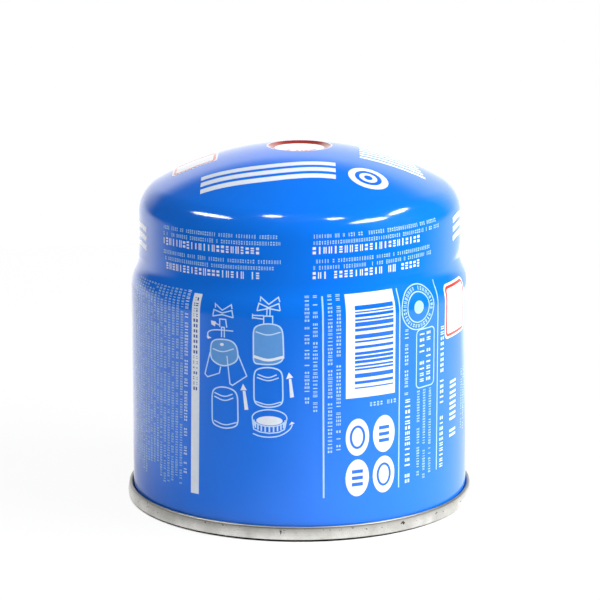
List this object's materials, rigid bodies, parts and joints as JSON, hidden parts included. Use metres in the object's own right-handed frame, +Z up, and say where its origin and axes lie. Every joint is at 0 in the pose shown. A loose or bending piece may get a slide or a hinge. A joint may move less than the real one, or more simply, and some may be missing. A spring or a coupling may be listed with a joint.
{
  "type": "fuel canister",
  "caption": "Sealed pierceable gas can for a camping stove: drawn printed steel body with necked band and domed top, and a dished tinplate base double-seamed on.",
  "frame": {"origin": "centre of the base, on the surface that the can stands on", "axes": "+Z up the can's axis, -Y towards the side that the picture shows, +X to that side's right"},
  "size_m": [0.093, 0.093, 0.095],
  "materials": {
    "printed_steel": "glossy blue lacquer printed on steel sheet",
    "bare_tinplate": "bare satin tinplate"
  },
  "bodies": {
    "root": {"can_body": "printed_steel", "base_end": "bare_tinplate"}
  },
  "joints": []
}
